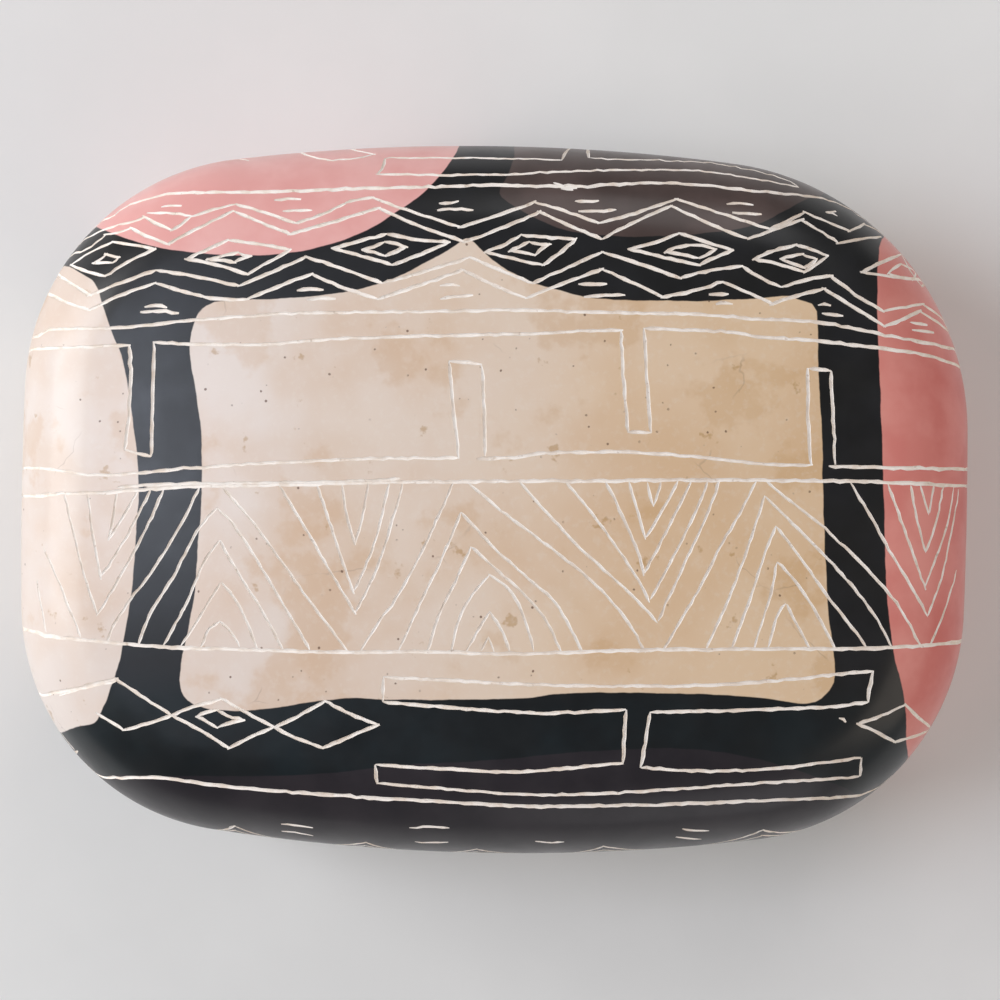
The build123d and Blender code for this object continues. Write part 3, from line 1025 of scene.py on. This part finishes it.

# %% [markdown]
# Each dye has two tones that a noise blots together, as where the brush was fuller or drier. A
# table gives the tones, and how far along the box or towards the back a colour turns into another
# pair: the black is greener at the front, and the aubergine lighter and browner at the back. The
# pink turns redder towards the middle, and darker and redder again on the right end; that last
# darkening is painted shade where the right end rolls over, away from the light.

# %% Dyes
blot = node(tree, "TexNoise", Vector=place, Scale=1 / (9 * MM), Detail=4.0, Roughness=0.55)
blot = node(tree, "MapRange", SOFT, i0=blot, i1=0.38, i2=0.66)
dyes_and_painted_light = {}
for dye, tones, turns in (
    ("black", ("0a090a", "121216"), ((to_back, -18, -24, ("050b0f", "0a161b")),)),
    ("aubergine", ("1e191f", "2a2429"), ((to_back, -10, 10, ("463733", "564541")),)),
    ("pink", ("eba8a2", "f2b8b2"), ((to_right, 0, 20, ("e08c82", "e89c90")),
                                   # painted shade: from 38 to 54 mm the pink turns darker, standing in for
                                   # the right end's roll-over away from the light
                                   (to_right, 38, 54, ("d06a62", "dc827a")))),
):
    colour = node(tree, "Mix", COLOURS, 2, i0=blot, i6=tones[0], i7=tones[1])
    for along, low, high, other_tones in turns:
        other = node(tree, "Mix", COLOURS, 2, i0=blot, i6=other_tones[0], i7=other_tones[1])
        step = node(tree, "MapRange", SOFT, i0=along, i1=low * MM, i2=high * MM)
        colour = node(tree, "Mix", COLOURS, 2, i0=step, i6=colour, i7=other)
    dyes_and_painted_light[dye] = colour

# %% Lay the dyes over each other
EDGE = 0.07                     # mm over which a dye's edge fades
brush = node(tree, "TexNoise", Vector=place, Scale=1 / (3 * MM), Detail=3.0, Roughness=0.55)
waver = node(tree, "MapRange", i0=brush, i1=0.3, i2=0.7, i3=-0.07, i4=0.07)
paint = dyes_and_painted_light["black"]
for patch, colour in (("aubergine", dyes_and_painted_light["aubergine"]), ("pink", dyes_and_painted_light["pink"]), ("cream", stone)):
    depth = node(tree, "Attribute", {"attribute_name": patch}, "Fac")
    depth = node(tree, "Math", PLUS, i0=depth, i1=waver)
    inside = node(tree, "MapRange", SOFT, i0=depth, i1=-EDGE, i2=EDGE)
    paint = node(tree, "Mix", COLOURS, 2, i0=inside, i6=paint, i7=colour)
foot_line = node(tree, "Math", TIMES_PLUS, i0=brush, i1=1.1 * MM, i2=upwards)
foot_line = node(tree, "MapRange", SOFT, i0=foot_line, i1=1.65 * MM, i2=2.0 * MM)
paint = node(tree, "Mix", COLOURS, 2, i0=foot_line, i6=stone_colour(tree, place, *RUBBED), i7=paint)
print("nodes in the dyed outside:", len(tree.nodes))

# %% [markdown]
# Wax gives a soft sheen rather than a mirror. The hand has rubbed it unevenly, so the roughness
# changes a little from place to place, and the skin keeps faint marks of the rasp.

# %% Wax on the outside
rubbing = node(tree, "TexNoise", Vector=place, Scale=1 / (5 * MM), Detail=5.0, Roughness=0.6)
rubbing = node(tree, "MapRange", i0=rubbing, i1=0.3, i2=0.7, i3=0.30, i4=0.44)
marks = node(tree, "TexNoise", Vector=place, Scale=1 / (1.3 * MM), Detail=4.0, Roughness=0.6)
shader = node(tree, "BsdfPrincipled", Base_Color=paint, Roughness=rubbing, IOR=1.5, Specular_IOR_Level=0.4,
              Coat_Weight=0.25, Coat_Roughness=0.2,
              Normal=node(tree, "Bump", Strength=0.12, Distance=0.05 * MM, Height=marks))
node(tree, "OutputMaterial", Surface=shader)

# %% Finish both pieces
materials = (dyed, bare, scratch)
for piece_name, body, mesh, cuts in (
    ("carved_base", "base", base_mesh, base_cuts),
    ("carved_lid", "lid", lid_mesh, lid_cuts),
):
    piece = scratched(piece_name, mesh, cuts, materials)
    write_dye(piece.data)
    true_normals(piece.data)
    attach(piece, body)
    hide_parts(body)

# %% [markdown]
# ## Floor and light
# A pale floor, an even sky and a large soft lamp on the left, where the photograph has its
# window. A warmer and weaker one opposite keeps the right end from going dull.

# %% Make the floor
bm = bmesh.new()
bmesh.ops.create_grid(bm, x_segments=8, y_segments=8, size=0.9)
floor_mesh = bpy.data.meshes.new("floor")
bm.to_mesh(floor_mesh)
bm.free()
floor = bpy.data.objects.new("floor", floor_mesh)
bpy.context.scene.collection.objects.link(floor)
paper, tree, place = new_material("pale_paper")
fibres = node(tree, "TexNoise", Vector=place, Scale=1 / (40 * MM), Detail=4.0, Roughness=0.55)
fibres = node(tree, "MapRange", SOFT, i0=fibres, i1=0.35, i2=0.65)
fibres = node(tree, "Mix", COLOURS, 2, i0=fibres, i6="ebeae8", i7="efeeec")
node(tree, "OutputMaterial", Surface=node(tree, "BsdfPrincipled", Base_Color=fibres, Roughness=0.9))
floor_mesh.materials.append(paper)


# %% Light it
def soft_lamp(name, at, size, watts, colour="ffffff"):
    """A square area lamp that faces the box."""
    data = bpy.data.lights.new(name, "AREA")
    data.color = linear(colour)[:3]
    data.shape, data.size, data.energy = "SQUARE", size, watts
    lamp = bpy.data.objects.new(name, data)
    lamp.location = at
    lamp.rotation_mode = "QUATERNION"
    lamp.rotation_quaternion = (-lamp.location).to_track_quat("-Z", "Y")
    bpy.context.scene.collection.objects.link(lamp)


soft_lamp("window", (-0.85, 0.12, 0.45), 0.7, 7.0)
soft_lamp("skylight", (-0.42, 0.05, 0.85), 0.3, 1.7, "e4edff")
soft_lamp("right", (0.8, -0.2, 0.5), 0.7, 2.0, "fff0e0")
soft_lamp("back", (0.24, 0.72, 0.72), 0.5, 1.4)
soft_lamp("front", (0.3, -0.9, 0.38), 0.6, 0.9)
world = bpy.data.worlds.new("sky")
bpy.context.scene.world = world
world.use_nodes = True
world.node_tree.nodes["Background"].inputs[0].default_value = linear("f2f3f5")
world.node_tree.nodes["Background"].inputs[1].default_value = 0.24
bpy.context.scene.view_settings.view_transform = "Standard"
